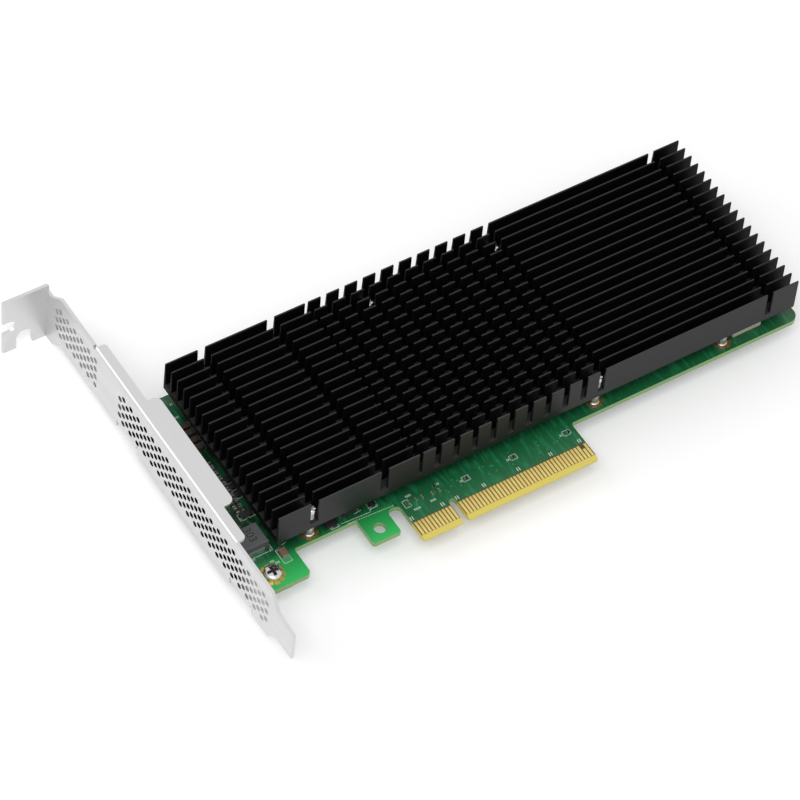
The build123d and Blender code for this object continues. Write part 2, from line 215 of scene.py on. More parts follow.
# beside the bracket the mask is darker, as painted shade between the bracket's flange and the heatsink
strip_low = add(tree, "MapRange", {"Value": place.outputs["Y"], "From Min": 17.5, "From Max": 24.0})
strip_high = add(tree, "MapRange", {"Value": place.outputs["Y"], "From Min": 62.0, "From Max": 59.5})
in_strip = add(tree, "Math", {0: place.outputs["X"], 1: -43.5}, operation="LESS_THAN")
painted_strip_shade = add(tree, "Math", {0: strip_low, 1: strip_high}, operation="MULTIPLY")
painted_strip_shade = add(tree, "Math", {0: painted_strip_shade, 1: in_strip}, operation="MULTIPLY")
mask = add(tree, "MixRGB", {"Fac": painted_strip_shade, "Color1": mask, "Color2": linear("#0c3019")})
# tracks run from the contacts into the board: streaks 1 mm wide and about 6 mm long
streak_place = add(tree, "VectorMath", {0: point, 1: (1.0, 0.16, 1.0)}, operation="MULTIPLY")
streaks = add(tree, "TexNoise", {"Vector": streak_place, "Scale": 1.1, "Detail": 2.0})
tracks = add(tree, "MapRange", {"Value": streaks, "From Min": 0.5, "From Max": 0.62,
                                "To Max": 0.32})
plane = add(tree, "Math", {0: 1.0, 1: clear}, operation="SUBTRACT")
tracks = add(tree, "Math", {0: tracks, 1: plane}, operation="MULTIPLY")
mask = add(tree, "MixRGB", {"Fac": tracks, "Color1": mask, "Color2": linear("#2c9464")})

# bare resin between the contacts, the bevel and the sawn edge; between the contacts it is darker than
# on the bevel, partly its own tone and partly painted shade
resin = add(tree, "TexNoise", {"Vector": point, "Scale": 1 / 0.4, "Detail": 2.0})
between = add(tree, "MixRGB", {"Fac": resin, "Color1": linear("#4b3508"),
                               "Color2": linear("#5f4714")})
off_middle = add(tree, "Math", {0: place.outputs["X"], 1: FINGER_MIDDLE_X},
                 operation="SUBTRACT")
beside = add(tree, "Math", {0: off_middle}, operation="ABSOLUTE")
in_width = add(tree, "Math", {0: beside, 1: FINGER_HALF}, operation="LESS_THAN")
in_depth = add(tree, "Math", {0: place.outputs["Y"], 1: MASK_LOW_Y}, operation="LESS_THAN")
bare = add(tree, "Math", {0: in_width, 1: in_depth}, operation="MULTIPLY")
face = add(tree, "MixRGB", {"Fac": bare, "Color1": mask, "Color2": between})
bevel = add(tree, "MixRGB", {"Fac": resin, "Color1": linear("#d2bf52"),
                             "Color2": linear("#e0cf6b")})
saw = add(tree, "MixRGB", {"Fac": resin, "Color1": linear("#6f9350"),
                           "Color2": linear("#93b571")})
tip_edge = add(tree, "MixRGB", {"Fac": bare, "Color1": saw, "Color2": bevel})
side = add(tree, "MixRGB", {"Fac": slope, "Color1": tip_edge, "Color2": bevel})
skin = add(tree, "MixRGB", {"Fac": flat, "Color1": side, "Color2": face})
tree.links.new(skin.outputs[0], shader.inputs["Base Color"])
relief = add(tree, "Bump", {"Height": tracks, "Strength": 0.3, "Distance": 0.03 * MM})
tree.links.new(relief.outputs[0], shader.inputs["Normal"])
paint("circuit_board", solder_mask)
print("solder mask:", len(tree.nodes), "nodes")

# %% [markdown]
# ## The other CAD pieces
# Each piece gets the finish that its trade gives it: anodised aluminium for the fins, hard
# gold on the contacts, zinc or nickel on steel, tin on leads, fired ceramic for chip
# capacitors and pressed ferrite for the power inductors.

# %% Finishes
# black anodised aluminium: the dye layer is a dull dielectric over the metal, so it is
# shaded as one, with a fine blasted grain of about 0.3 mm that wears it a little. Painted
# shade darkens the faces between the fins, and a painted highlight lightens faces that point up
FRONT_FACE_Y = 14.6
anodised, tree, shader = finish("black_anodised_aluminium", "#0b0b0c", roughness=0.5, IOR=1.5)
point = millimetres(tree)
grain = add(tree, "TexNoise", {"Vector": point, "Scale": 1 / 0.3, "Detail": 3.0})
place = add(tree, "SeparateXYZ", {0: point})
facing = add(tree, "SeparateXYZ", {0: add(tree, "NewGeometry").outputs["Normal"]})
inner = add(tree, "Math", {0: place.outputs["Y"], 1: FRONT_FACE_Y}, operation="GREATER_THAN")
painted_top_light = add(tree, "Math", {0: facing.outputs["Z"], 1: 0.7}, operation="GREATER_THAN")
# painted shade behind the front face, then a painted highlight on the faces that point up
dye_with_painted_light = add(tree, "MixRGB", {"Fac": inner, "Color1": linear("#0a0a0b"), "Color2": linear("#040405")})
dye_with_painted_light = add(tree, "MixRGB", {"Fac": painted_top_light, "Color1": dye_with_painted_light, "Color2": linear("#2c2c2d")})
worn = add(tree, "Math", {0: grain, 1: 0.12}, operation="MULTIPLY")
dye_with_painted_light = add(tree, "MixRGB", {"Fac": worn, "Color1": dye_with_painted_light, "Color2": linear("#2a2a2b")})
tree.links.new(dye_with_painted_light.outputs[0], shader.inputs["Base Color"])
# the specular level is lower between the fins as well, as painted shade in the reflections
shine = add(tree, "MapRange", {"Value": inner, "To Min": 0.35, "To Max": 0.1})
tree.links.new(shine.outputs[0], shader.inputs["Specular IOR Level"])
relief = add(tree, "Bump", {"Height": grain, "Strength": 0.2, "Distance": 0.03 * MM})
tree.links.new(relief.outputs[0], shader.inputs["Normal"])
gold = mottled("hard_gold_plating", "#f1dc8e", "#e6cb74", 1.4, metallic=1.0, roughness=0.36)
zinc = mottled("bright_zinc_on_sheet_steel", "#d6d6d6", "#cbcbcc", 2.5, metallic=1.0,
               roughness=0.34, spread=0.05, bump=0.05, stretch=(1, 0.12, 1))
# %% [markdown]
# ## Punched holes
# The holes in the bracket are deeper than they are wide to the camera, so that only their
# walls are seen. A wall is told from the sheet by its direction, and from the sheet's
# outline by its place.

# %% Hole walls
# the walls of the punched holes get painted shade: dark where the card is close behind, pale towards
# the bracket's ends
tree = zinc.node_tree
shader = tree.nodes["Principled BSDF"]
sheet = shader.inputs["Base Color"].links[0].from_socket
place = add(tree, "SeparateXYZ", {0: millimetres(tree)})
facing = add(tree, "SeparateXYZ", {0: add(tree, "NewGeometry").outputs["Normal"]})
turned_away = add(tree, "Math", {0: facing.outputs["X"]}, operation="ABSOLUTE")
wall = add(tree, "Math", {0: turned_away, 1: 0.6}, operation="LESS_THAN")
outer_plate = add(tree, "Math", {0: place.outputs["X"], 1: -58.25}, operation="LESS_THAN")
off_centre = add(tree, "Math", {0: place.outputs["Z"], 1: 7.0}, operation="SUBTRACT")
off_centre = add(tree, "Math", {0: off_centre}, operation="ABSOLUTE")
punched = add(tree, "Math", {0: off_centre, 1: 7.4}, operation="LESS_THAN")
wall = add(tree, "Math", {0: wall, 1: outer_plate}, operation="MULTIPLY")
wall = add(tree, "Math", {0: wall, 1: punched}, operation="MULTIPLY")
off_card = add(tree, "Math", {0: place.outputs["Y"], 1: 38.0}, operation="SUBTRACT")
off_card = add(tree, "Math", {0: off_card}, operation="ABSOLUTE")
shaded = add(tree, "MapRange", {"Value": off_card, "From Min": 34.0, "From Max": 26.0})
painted_wall_shade = add(tree, "MixRGB", {"Fac": shaded, "Color1": linear("#d2d2d2"), "Color2": linear("#1c1c1c")})
steel = add(tree, "MixRGB", {"Fac": wall, "Color1": sheet, "Color2": painted_wall_shade})
tree.links.new(steel.outputs[0], shader.inputs["Base Color"])

# %% [markdown]
# ## Other plain finishes
# Nickel and tin are brighter and darker kinds of the same mottled metal, and the resins
# and ceramics differ in colour, gloss and the size of their grain.

# %% Plain finishes
nickel = mottled("bright_nickel_on_steel", "#d6d4d0", "#c4c2be", 0.6, metallic=1.0, roughness=0.22)
tin = mottled("tin_plated_leads", "#dcdcda", "#bdbdba", 0.3, metallic=1.0, roughness=0.38)
spring_steel = mottled("spring_steel_wire", "#b9b9ba", "#a2a2a4", 0.4, metallic=1.0, roughness=0.28)
ferrite = mottled("pressed_ferrite", "#5b5c5e", "#4d4e50", 0.25, roughness=0.6, bump=0.3)
epoxy = mottled("black_epoxy_moulding", "#1c1c1d", "#262627", 0.2, roughness=0.55, bump=0.2)
ceramic = mottled("fired_capacitor_ceramic", "#7d6650", "#6a543f", 0.3, roughness=0.5, bump=0.1)
# a darker copy of the capacitor ceramic, as painted shade for the parts in the strip beside the bracket
strip_ceramic_in_painted_shade = mottled("capacitor_ceramic_in_painted_shade", "#40372d", "#2f2821", 0.3, roughness=0.45)
glaze = mottled("glazed_resistor_ceramic", "#17181b", "#222328", 0.2, roughness=0.3)
laminate = mottled("chip_carrier_laminate", "#1c6a3a", "#18592f", 0.8, roughness=0.5)
lid = mottled("nickel_plated_lid", "#b9b9b8", "#a9a9a8", 1.2, metallic=1.0, roughness=0.35)
gap_pad = mottled("soft_thermal_pad", "#9aa0a8", "#8b929b", 0.5, roughness=0.85, bump=0.3)
nylon = mottled("socket_nylon", "#cfc8b4", "#c2bba7", 0.5, roughness=0.5)
clear_resin = mottled("light_lens_resin", "#e9eedc", "#dde6c6", 0.3, roughness=0.2, IOR=1.54)

FINISHES = {
    "heat_sink": anodised, "contacts_component_side": gold, "contacts_solder_side": gold,
    "heatsink_posts": tin, "heatsink_springs": spring_steel, "heatsink_screws": nickel,
    "bracket": zinc, "bracket_screws": nickel, "switch_chip_carrier": laminate,
    "switch_chip_lid": lid, "chip_thermal_pad": gap_pad, "drive_sockets": nylon,
    "drive_posts": tin, "drive_thermal_pads": gap_pad, "power_inductors": ferrite,
    "inductor_terminals": tin, "power_controllers": epoxy, "memory_chip": epoxy,
    "memory_leads": tin, "clock_crystal": epoxy, "bulk_capacitors": strip_ceramic_in_painted_shade,
    "ear_capacitor": ceramic, "lane_capacitors": ceramic, "strip_capacitors": strip_ceramic_in_painted_shade,
    "edge_resistors": glaze, "status_lights": clear_resin,
}
for node, made in FINISHES.items():
    paint(node, made)
print("finishes:", len(set(m.name for m in FINISHES.values())) + 1)

# %% [markdown]
# ## A helper for new pieces
# New geometry is worked out as whole arrays. A mesh wants its points, the corners of all
# faces in a row, and where each face starts. The object stays at the origin, so that a
# point's coordinates are its true place on the card.


# %% Mesh helper
def piece(name, points, faces, made, slot=None, smooth=False):
    """Makes one object from points in mm, shape (n, 3), and faces of equal corner count."""
    points, faces = np.asarray(points, float) * MM, np.asarray(faces)
    mesh = bpy.data.meshes.new(name)
    mesh.vertices.add(len(points))
    mesh.vertices.foreach_set("co", points.ravel())
    mesh.loops.add(faces.size)
    mesh.loops.foreach_set("vertex_index", faces.ravel())
    mesh.polygons.add(len(faces))
    mesh.polygons.foreach_set("loop_start", np.arange(len(faces)) * faces.shape[1])
    mesh.polygons.foreach_set("use_smooth", np.full(len(faces), smooth))
    mesh.update(calc_edges=True)
    mesh.materials.append(made)
    thing = bpy.data.objects.new(name, mesh)
    bpy.context.scene.collection.objects.link(thing)
    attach(thing, "root")
    if smooth:                   # turned shapes close to a point, where their points are one
        thing.modifiers.new("closed_poles", "WELD").merge_threshold = 0.001 * MM
    print(name, len(points), "points", len(faces), "faces")
    return thing


def copies(points, faces, places):
    """The same shape at every place: points are shifted, and face numbers move on."""
    places = np.atleast_2d(places)
    many = (points[None] + places[:, None]).reshape(-1, 3)
    shift = np.arange(len(places))[:, None, None] * len(points)
    return many, (faces[None] + shift).reshape(-1, faces.shape[1])


def joined(*parts):
    """Several (points, faces) pairs as one, each set of face numbers moved past the last."""
    starts = np.cumsum([0] + [len(p) for p, _ in parts[:-1]])
    return (np.concatenate([p for p, _ in parts]),
            np.concatenate([f + s for (_, f), s in zip(parts, starts)]))


# %% [markdown]
# ## Ink, pads and dots
# The white ink, the ring of gold round each screw and the plated holes are flat films a
# few hundredths of a millimetre thick. A line is a thin bar between two points, and a
# dot or ring is a low prism: an inner and an outer circle, top and bottom, as a grid of
# four corners round by n steps along.

# %% Bars, rings and blocks
BOARD = 1.57
FILM = 0.03
BOX_FACES = np.array([(0, 3, 2, 1), (4, 5, 6, 7), (0, 1, 5, 4), (1, 2, 6, 5), (2, 3, 7, 6),
                      (3, 0, 4, 7)])


def bars(ends, width, bottom=BOARD, height=FILM):
    """A bar for each row (x0, y0, x1, y1): the ends shifted half a width to either side."""
    ends = np.atleast_2d(ends).astype(float)
    start, stop = ends[:, :2], ends[:, 2:]
    run = stop - start
    run /= np.linalg.norm(run, axis=1, keepdims=True)
    off = np.stack([-run[:, 1], run[:, 0]], 1) * width / 2
    reach = run * width / 2
    plan = np.stack([start - reach - off, stop + reach - off,
                     stop + reach + off, start - reach + off], 1)
    low = np.concatenate([plan, np.full((len(ends), 4, 1), bottom)], 2)
    high = low + (0, 0, height)
    points = np.concatenate([low, high], 1).reshape(-1, 3)
    faces = BOX_FACES[None] + np.arange(len(ends))[:, None, None] * 8
    return points, faces.reshape(-1, 4)


def blocks(centres, size, bottom=BOARD):
    """A box of one size at every centre: each corner is half the size to either side."""
    centres = np.atleast_2d(centres).astype(float)
    signs = np.array([(-1, -1), (1, -1), (1, 1), (-1, 1)]) * np.array(size[:2]) / 2
    plan = centres[:, None, :2] + signs
    low = np.concatenate([plan, np.full((len(centres), 4, 1), bottom)], 2)
    points = np.concatenate([low, low + (0, 0, size[2])], 1).reshape(-1, 3)
    faces = BOX_FACES[None] + np.arange(len(centres))[:, None, None] * 8
    return points, faces.reshape(-1, 4)


def ring(inner, outer, sides=16, bottom=BOARD, height=FILM, start=0.0, sweep=2 * math.pi):
    """A low ring or arc: four corners (inner and outer, low and high) at each angle step."""
    turn = start + np.linspace(0, sweep, sides + 1)
    radius = np.array([inner, outer, outer, inner])
    level = np.array([bottom, bottom, bottom + height, bottom + height])
    points = np.stack([np.cos(turn)[:, None] * radius, np.sin(turn)[:, None] * radius,
                       np.broadcast_to(level, (sides + 1, 4))], 2).reshape(-1, 3)
    step, edge = np.meshgrid(np.arange(sides), np.arange(4), indexing="ij")
    a, b = step * 4 + edge, step * 4 + (edge + 1) % 4
    faces = np.stack([a, a + 4, b + 4, b], 2).reshape(-1, 4)
    closed = abs(sweep - 2 * math.pi) < 1e-6
    if closed:
        faces = np.where(faces >= sides * 4, faces - sides * 4, faces)
        return points[:-4], faces
    last = sides * 4
    ends = np.array([(0, 1, 2, 3), (last + 3, last + 2, last + 1, last)])
    return points, np.concatenate([faces, ends])


def outline(x, y, width, depth):
    """The four sides of a rectangle centred on (x, y), as bar ends."""
    a, b, c, d = x - width / 2, y - depth / 2, x + width / 2, y + depth / 2
    return [(a, b, c, b), (c, b, c, d), (c, d, a, d), (a, d, a, b)]


ink = mottled("white_legend_ink", "#e9ece6", "#d2d8cf", 0.3, roughness=0.6)
print("film is", FILM, "mm thick")

# %% [markdown]
# ## The white legend
# The legend is screen printed. It draws boxes round the parts, a fine rule above the tab
# and short dashes, and it marks every tenth contact with a pair of ticks.

# %% Legend
CHIPS = [(-45.2, 38.9), (-45.2, 36.5), (-45.3, 33.8), (-47.4, 27.6), (-45.6, 27.6),
         (-29.4, 14.7), (-18.0, 15.4)]
# boxes as (x, y, width, depth): round the chips, the small parts by the contacts, the two
# coils and the capacitor on the ear
boxes = [(x, y, 2.4, 2.2) for x, y in CHIPS]
boxes += [(6.7, 10.85, 2.0, 1.5), (20.6, 10.65, 2.0, 1.5), (36.5, 10.6, 2.0, 1.5),
          (-10.3, 11.3, 1.7, 2.2), (-50.3, 19.7, 8.2, 8.4), (-51.7, 52.5, 8.2, 8.4),
          (-44.7, 12.7, 2.3, 4.5)]
legend = [side for box in boxes for side in outline(*box)]
legend += [(-27.5, 13.95, -19.6, 13.6), (-19.6, 13.6, -18.8, 14.3), (-23.3, 15.0, -21.2, 15.2),
           (-43.7, 15.6, -42.2, 15.9), (-47.0, 15.3, -46.6, 16.3)]
# a pair of ticks beside every tenth contact
TICK_XS = (-11.6, -2.6, 1.6, 9.5, 19.7, 29.3, 37.9)
ticks = [(x + shift, 6.5, x + shift, 7.4) for x in TICK_XS for shift in (-0.3, 0.3)]
# rows of short dashes where the print is small, as (first x, y, number)
DASH_ROWS = ((-9.6, 8.6, 5), (-4.6, 8.9, 4), (-9.4, 13.0, 4), (-1.0, 12.6, 3), (5.0, 10.4, 2),
             (18.7, 10.3, 3), (34.6, 10.3, 2), (-48.6, 12.3, 3), (-47.6, 11.4, 3),
             (-52.0, 14.9, 2), (-46.6, 61.4, 3), (-45.6, 65.6, 2))
DASH, DASH_PITCH = 0.5, 0.42
dashes = [(x, y, x, y + DASH) for first_x, y, number in DASH_ROWS
          for x in first_x + DASH_PITCH * np.arange(number)]
piece("legend_lines", *joined(bars(legend, 0.1), bars(ticks, 0.2), bars(dashes, 0.16)), ink)
print("legend:", len(boxes), "boxes,", len(ticks), "ticks,", len(dashes), "dashes")

# %% [markdown]
# ## Plated holes
# Plated holes join the copper layers. Under the mask they show as small pale rings. A
# row of them runs along the tab's fold line, and others lie scattered between the
# contacts and the heatsink and along the bracket. The scatter is seeded, so it is the
# same in every run.

# %% Plated holes
dice = np.random.default_rng(7)
row_x = np.arange(-26.0, -13.2, 0.62)
row = np.stack([row_x, 13.3 - 0.055 * (row_x + 28), np.zeros_like(row_x)], 1)
field_x, field_y = dice.uniform(-10, 38, 30), dice.uniform(8.6, 12.6, 30)
strip_x, strip_y = dice.uniform(-56, -46.6, 90), dice.uniform(14, 67, 90)
scatter_x, scatter_y = np.append(field_x, strip_x), np.append(field_y, strip_y)
scatter = np.stack([scatter_x, scatter_y, np.zeros_like(scatter_x)], 1)
via_copper = mottled("masked_copper_ring", "#43996a", "#3a8a5c", 0.3, roughness=0.4)
piece("plated_hole_row", *copies(*ring(0.04, 0.14, 8), row), ink)
piece("plated_holes", *copies(*ring(0.1, 0.24, 8), scatter), via_copper)

# %% [markdown]
# ## Gold round the bracket screws
# Each bracket screw presses on a ring of bare, gold plated copper that is split into
# segments, so that it takes up the screw's turn without tearing the foil.

# %% Screw pads
SCREW_X, SCREW_YS = -50.05, (9.2, 64.0)
SEGMENTS, PAD_GAP = 10, 0.16
pad_copper = mottled("gold_on_bare_copper", "#dcb464", "#c69c4c", 0.5, metallic=0.9, roughness=0.4)
arcs = [ring(2.35, 3.2, 5, start=k * 2 * math.pi / SEGMENTS, sweep=2 * math.pi / SEGMENTS - PAD_GAP)
        for k in range(SEGMENTS)]
screw_places = [(SCREW_X, y, 0) for y in SCREW_YS]
piece("screw_pads", *copies(*joined(*arcs), screw_places), pad_copper)

# %% [markdown]
# ## Soldered feet of the posts
# The heatsink stands on posts that are soldered to the board. Each foot has a ring of
# flux-stained copper and a low, concave fillet of solder. The fillet is a hollow curve
# turned round the post: towards the post its height grows as a power of the way covered.

# %% Solder fillets
FRONT_GAP_Y, REAR_GAP_Y = 15.81, 63.78
POSTS = [(-35.8, FRONT_GAP_Y), (48.275, FRONT_GAP_Y), (10.475, REAR_GAP_Y), (48.275, REAR_GAP_Y),
         (87.7, FRONT_GAP_Y)]


def turned_surface(radii, heights, sides=24):
    """A profile (radius, height) turned round Z as a grid of profile points by angles."""
    turn = np.linspace(0, 2 * math.pi, sides, endpoint=False)
    radii, heights = np.asarray(radii, float), np.asarray(heights, float)
    points = np.stack([radii[:, None] * np.cos(turn), radii[:, None] * np.sin(turn),
                       np.broadcast_to(heights[:, None], (len(radii), sides))], 2).reshape(-1, 3)
    i, j = np.meshgrid(np.arange(len(radii) - 1), np.arange(sides), indexing="ij")
    a, b = i * sides + j, i * sides + (j + 1) % sides
    return points, np.stack([a, b, b + sides, a + sides], 2).reshape(-1, 4)


FILLET_IN, FILLET_OUT, FILLET_HIGH, HOLLOW = 1.2, 1.5, 0.2, 2.2
climb = np.linspace(0, 1, 7)
reach = FILLET_OUT - (FILLET_OUT - FILLET_IN) * climb
fillet_r = np.concatenate([[FILLET_IN], reach, [FILLET_IN]])
fillet_z = BOARD + np.concatenate([[0], 0.02 + FILLET_HIGH * climb ** HOLLOW, [0]])
stained = mottled("flux_stained_copper", "#8f5a24", "#a56c30", 0.5, metallic=0.5, roughness=0.45)
post_places = np.array([(x, y, 0) for x, y in POSTS])
piece("post_solder", *copies(*turned_surface(fillet_r, fillet_z), post_places), tin, smooth=True)
POST_SEGMENTS, POST_PAD_GAP = 8, 0.22
petals = [ring(1.6, 2.45, 5, start=k * 2 * math.pi / POST_SEGMENTS,
               sweep=2 * math.pi / POST_SEGMENTS - POST_PAD_GAP) for k in range(POST_SEGMENTS)]
piece("post_pads", *copies(*joined(*petals), post_places), stained)

# %% [markdown]
# ## Coil springs
# Real spring screws carry a coil of round wire. A helix is a circle that climbs as it
# turns, and the wire is a small circle carried along it: sideways out from the axis and
# up along it. The end turns lie flat, as ground ends do, so the climb is an S curve.

# %% Springs
SPRING_BOTTOM, SPRING_TOP, WIRE, COIL, TURNS = 7.7, 10.3, 0.16, 1.02, 5.5


def coil_spring(steps=150, around=8):
    """Points on a grid: along the helix by around the wire; the wire closes to a point."""
    u = np.linspace(0, 1, steps)
    turn = 2 * math.pi * TURNS * u
    rise = np.clip((u - 0.1) / 0.8, 0, 1)
    height = SPRING_BOTTOM + WIRE + (SPRING_TOP - SPRING_BOTTOM - 2 * WIRE) * rise
    wire = np.full(steps, WIRE)
    wire[[0, -1]] = 0.0
    v = np.linspace(0, 2 * math.pi, around, endpoint=False)
    out = COIL + wire[:, None] * np.cos(v)
    points = np.stack([out * np.cos(turn)[:, None], out * np.sin(turn)[:, None],
                       height[:, None] + wire[:, None] * np.sin(v)], 2).reshape(-1, 3)
    i, j = np.meshgrid(np.arange(steps - 1), np.arange(around), indexing="ij")
    a, b = i * around + j, i * around + (j + 1) % around
    return points, np.stack([a, a + around, b + around, b], 2).reshape(-1, 4)


springs = piece("coil_springs", *copies(*coil_spring(), post_places[:4]), spring_steel,
                slot="heatsink_springs", smooth=True)
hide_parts("heatsink_springs")

# %% [markdown]
# ## Screws with a cross recess
# A pan head is a low dome with a rounded rim, and its cross recess is four tapered slots
# that meet in a pit. On a grid of radius by angle the dome's height is a curve of the
# radius, and the recess takes height away where the point lies within either slot.


# %% Screws
def cross_screw(head, thick, seat, shank, end, arm, slot, depth, rings=40, sides=144):
    """A screw turned round Z: dome with a cross cut into it, rim, underside, shank, end."""
    radius = np.linspace(0, 1, rings) * head * 0.97
    dome = seat + thick * (0.55 + 0.45 * np.sqrt(np.clip(1 - (radius / head) ** 2.6, 0, 1)))
    radii = np.concatenate([radius, [head, head, shank, shank, 0]])
    heights = np.concatenate([dome, [seat + thick * 0.5, seat, seat, end, end]])
    points, faces = turned_surface(radii, heights, sides)
    top = points[:rings * sides]
    near = np.minimum(np.abs(top[:, 0]), np.abs(top[:, 1]))
    far = np.maximum(np.abs(top[:, 0]), np.abs(top[:, 1]))
    across = np.clip((slot / 2 - near) / 0.07 + 0.5, 0, 1)
    along = np.clip((arm - far) / 0.3, 0, 1)
    top[:, 2] -= depth * across * along
    return points, faces[:, ::-1]


# sizes as (head radius, its thickness, seat, shank radius, shank end, arm, slot, depth)
PAN_HEAD = (2.3, 1.7, BOARD, 1.2, -1.46, 1.5, 0.74, 1.0)
SPRING_HEAD = (1.3, 1.2, SPRING_TOP, 0.6, 2.6, 0.8, 0.36, 0.55)
SHARP = math.radians(35)
heads = copies(*cross_screw(*PAN_HEAD), screw_places)
pan_screws = piece("pan_head_screws", *heads, nickel, slot="bracket_screws", smooth=True)
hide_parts("bracket_screws")
pan_screws.data.set_sharp_from_angle(angle=SHARP)
# painted shade in the pit: a dark cross lies low in the recess, one bar right
# across and a half bar on either side of it
recess_shade_paint = mottled("painted_recess_shadow", "#0b0b0b", "#161514", 0.2, roughness=0.7)
PIT_BOTTOM = 2.4
cross = joined(blocks([(0, 0)], (2.7, 0.6, 0.5), PIT_BOTTOM),
               blocks([(0, 0.825), (0, -0.825)], (0.6, 1.05, 0.5), PIT_BOTTOM))
piece("shadow_cross_in_recess", *copies(*cross, screw_places), recess_shade_paint)
small = copies(*cross_screw(*SPRING_HEAD, rings=20, sides=72), post_places[:4])
spring_screws = piece("spring_screws", *small, nickel, slot="heatsink_screws", smooth=True)
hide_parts("heatsink_screws")
spring_screws.data.set_sharp_from_angle(angle=SHARP)

# %% [markdown]
# ## Fins
# The heatsink is an extrusion that is sawn across. Its fins taper to a thin tip, which is
# only 0.45 mm wide, so that from above most of the surface is dark gap. A fin block is a
# tapered bar: four corners at its root and four, closer together, at its tip. One grid of
# fins by spans between the saw cuts makes them all, on a base plate that is a bar too.

# %% Heatsink
SINK_LEFT, SINK_RIGHT, SINK_BOTTOM, BASE_TOP, FIN_TOP = -46.1, 108.35, 5.6, 7.7, 15.4
FINS, FIN_PITCH, REAR_FIN_Y, FIN_TIP, FIN_ROOT = 19, 2.998, 68.28, 0.45, 0.9
SUNK = 0.2                       # the fins' roots start a little below the base's top
SAW, PIN_CUTS, FIRST_PIN_CUT, PIN_PITCH = 1.75, 10, -0.325, 5.4
pin_cuts = FIRST_PIN_CUT + PIN_PITCH * np.arange(PIN_CUTS)
cuts = sorted([(-36.9, -34.7), (-16.9, -14.7), (-5.85, -4.85), (98.725, 100.475)]
              + [(x - SAW / 2, x + SAW / 2) for x in pin_cuts])
spans = np.array([SINK_LEFT] + [x for cut in cuts for x in cut] + [SINK_RIGHT]).reshape(-1, 2)
fin_y = REAR_FIN_Y - FIN_PITCH * np.arange(FINS)
span, y = np.repeat(spans, FINS, 0), np.tile(fin_y, len(spans))


def fin_level(half, z):
    """The four corners of every fin block at one height, a half width either side of y."""
    x = span[:, [0, 1, 1, 0]]
    return np.stack([x, y[:, None] + half * np.array([-1, -1, 1, 1]), np.full(x.shape, z)], 2)


fin_roots, fin_tips = fin_level(FIN_ROOT / 2, BASE_TOP - SUNK), fin_level(FIN_TIP / 2, FIN_TOP)
fin_points = np.concatenate([fin_roots, fin_tips], 1).reshape(-1, 3)
fin_faces = (BOX_FACES[None] + np.arange(len(y))[:, None, None] * 8).reshape(-1, 4)
middle = ((SINK_LEFT + SINK_RIGHT) / 2, (fin_y[0] + fin_y[-1]) / 2)
plate_size = (SINK_RIGHT - SINK_LEFT, fin_y[0] - fin_y[-1] + FIN_ROOT, BASE_TOP - SINK_BOTTOM)
plate = blocks([middle], plate_size, SINK_BOTTOM)
fins = piece("sawn_heatsink", *joined((fin_points, fin_faces), plate), anodised, slot="heat_sink")
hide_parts("heat_sink")
soft = fins.modifiers.new("broken_edges", "BEVEL")
soft.width, soft.segments, soft.limit_method = 0.06 * MM, 1, "ANGLE"    # 0.06 mm, as blasting leaves it
print(len(y), "fin blocks,", FINS, "fins in", len(spans), "spans")

# %% [markdown]
# ## Tinned ends of the chip parts
# Chip capacitors and resistors end in dipped metal caps. Each cap is a thin block a
# little larger than the ceramic, over one end of the body. The capacitor on the ear gets
# a new body first, a little longer than the solid and nearer the ear's middle.


# %% End caps
def end_caps(places, size, cap, lengthwise, proud=0.03):
    """Blocks over both ends of bodies (width, depth, height); lengthwise is 0 for X, 1 for Y."""
    places = np.atleast_2d(places).astype(float)
    shift = np.zeros(2)
    shift[lengthwise] = (size[lengthwise] - cap) / 2 + proud
    cap_size = [width + 2 * proud for width in size[:2]] + [size[2] + proud]
    cap_size[lengthwise] = cap
    return blocks(np.concatenate([places + shift, places - shift]), cap_size)


# the places of the CAD bodies, and how long their caps are
bulk = [(-46.4, y) for y in (57.6, 55.2, 52.8, 50.4)]
lane = [(-9.9, 11.2), (-7.8, 11.2), (-6.0, 11.2), (-3.3, 10.8), (-1.2, 10.8)]
strip = [(x, y) for x in (-48.15, -46.65) for y in 37.0 + 1.9 * np.arange(-4, 5)]
edge = [(6.8, 10.9), (20.6, 10.7), (37.0, 10.6), (-1.6, 12.6)]
EAR = (-44.7, 13.0)
ear_size = (1.7, 3.4, 1.3)
ear = piece("ear_chip_capacitor", *blocks([EAR], ear_size), ceramic, slot="ear_capacitor")
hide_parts("ear_capacitor")
caps = joined(end_caps(bulk, (3.2, 1.6, 1.6), 0.5, 0), end_caps([EAR], ear_size, 0.6, 1),
              end_caps(lane, (0.5, 1.0, 0.5), 0.25, 1), end_caps(strip, (0.8, 1.5, 0.8), 0.35, 1),
              end_caps(edge, (1.0, 0.5, 0.4), 0.25, 0))
piece("chip_end_caps", *caps, tin)

# %% [markdown]
# ## Small chips in the strip
# Between the bracket and the heatsink the board is crowded with little black chips. Each
# is a square of epoxy with a tinned pad at every corner.

# %% Corner-pad chips
chip_places = np.array([(x, y, 0) for x, y in CHIPS])
die = blocks([(0, 0)], (1.7, 1.6, 0.75))
piece("corner_pad_chips", *copies(*die, chip_places), epoxy)
corners = blocks([(x, y) for x in (-0.8, 0.8) for y in (-0.7, 0.7)], (0.45, 0.35, 0.5))
piece("corner_pads", *copies(*corners, chip_places), tin)

# %% [markdown]
# ## The mark on the coil
# The coil is marked with its value, a plain number. It is set as text, made into a mesh,
# and only then turned to read towards the front edge and laid on the coil's top.

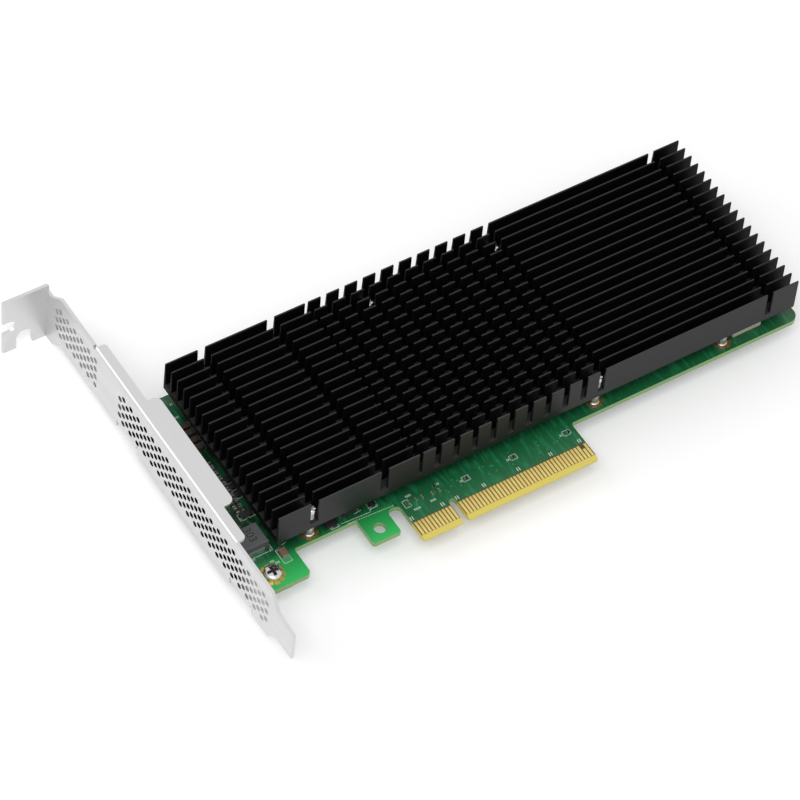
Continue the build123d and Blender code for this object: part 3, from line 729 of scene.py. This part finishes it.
# %% Coil mark
COIL_X, COIL_Y = -50.2, 20.0
text = bpy.data.curves.new("coil_mark", "FONT")
text.body, text.size, text.extrude = "303", 3.0, 0.01
text.align_x, text.align_y = "CENTER", "CENTER"
lettering = bpy.data.objects.new("coil_mark_text", text)
flat_text = bpy.data.meshes.new_from_object(lettering)
bpy.data.objects.remove(lettering)
mark_points = np.zeros(len(flat_text.vertices) * 3)
flat_text.vertices.foreach_get("co", mark_points)
along, upward, thick = mark_points.reshape(-1, 3).T
coil_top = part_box("power_inductors")[1].z / MM + 0.02
turned_mark = np.stack([upward + COIL_X, COIL_Y - along, thick + coil_top], 1) * MM
flat_text.vertices.foreach_set("co", turned_mark.ravel())
flat_text.materials.clear()
flat_text.materials.append(epoxy)
mark = bpy.data.objects.new("coil_mark", flat_text)
bpy.context.scene.collection.objects.link(mark)
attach(mark, "root")
print("coil mark:", len(flat_text.polygons), "faces")

# %% [markdown]
# ## The studio
# A pale floor, a white sky and two large soft lamps give the plain look of a catalogue
# picture. The main lamp stands in front, and the other behind on the left, out of the
# place that the bracket's flat top mirrors. Floor and sky add light of their own only
# where the camera, a reflection or a clear material looks at them: that makes them
# white, keeps the shadow and leaves the light on the card as it is.

# %% Floor, lamps and world
def looked_at(tree):
    """1 where the camera, a reflection or a clear material looks, 0 for plain lighting."""
    path = add(tree, "LightPath")
    seen = add(tree, "Math", {0: path.outputs["Is Camera Ray"], 1: path.outputs["Is Glossy Ray"]},
               operation="MAXIMUM")
    return add(tree, "Math", {0: seen, 1: path.outputs["Is Transmission Ray"]}, operation="MAXIMUM")


FLOOR_REACH = 6                  # metres from the card to each side of the floor
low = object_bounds()[0]
corners = [(x * FLOOR_REACH, y * FLOOR_REACH, low.z) for x, y in ((-1, -1), (1, -1), (1, 1), (-1, 1))]
floor_mesh = bpy.data.meshes.new("studio_floor")
floor_mesh.from_pydata(corners, [], [(0, 1, 2, 3)])
floor = bpy.data.objects.new("studio_floor", floor_mesh)
bpy.context.scene.collection.objects.link(floor)
pale, tree, shader = finish("pale_studio_floor", "#eeeeee", roughness=0.9)
glow = add(tree, "Math", {0: looked_at(tree), 1: 0.22}, operation="MULTIPLY")
shader.inputs["Emission Color"].default_value = (1, 1, 1, 1)
tree.links.new(glow.outputs[0], shader.inputs["Emission Strength"])
floor_mesh.materials.append(pale)

world = bpy.data.worlds.new("studio_world")
world.use_nodes = True
world.node_tree.nodes["Background"].inputs["Color"].default_value = linear("#ffffff")
# the sky lights the card softly, but is white where the camera or a reflection looks at it
tree = world.node_tree
sky = add(tree, "MapRange", {"Value": looked_at(tree), "To Min": 0.5, "To Max": 1.0})
tree.links.new(sky.outputs[0], tree.nodes["Background"].inputs["Strength"])
bpy.context.scene.world = world


def lamp(name, at, towards, size, watts):
    """A square soft lamp at a place in metres, turned to face another place."""
    light = bpy.data.lights.new(name, "AREA")
    light.size, light.energy = size, watts
    thing = bpy.data.objects.new(name, light)
    bpy.context.scene.collection.objects.link(thing)
    back = np.array(at, float) - towards
    back /= np.linalg.norm(back)
    x = np.cross((0, 1, 0), back)
    x /= np.linalg.norm(x)
    turn = np.eye(4)
    turn[:3, 0], turn[:3, 1], turn[:3, 2], turn[:3, 3] = x, np.cross(back, x), back, at
    thing.matrix_world = Matrix(turn)
    print(name, watts, "W")


centre = np.array([0.02, 0.04, 0.0])
lamp("key_softbox", (-0.45, -0.5, 1.3), centre, 0.9, 10)
lamp("back_softbox", (-0.9, 0.6, 1.0), centre, 1.0, 4.6)

bpy.context.scene.view_settings.view_transform = "Standard"
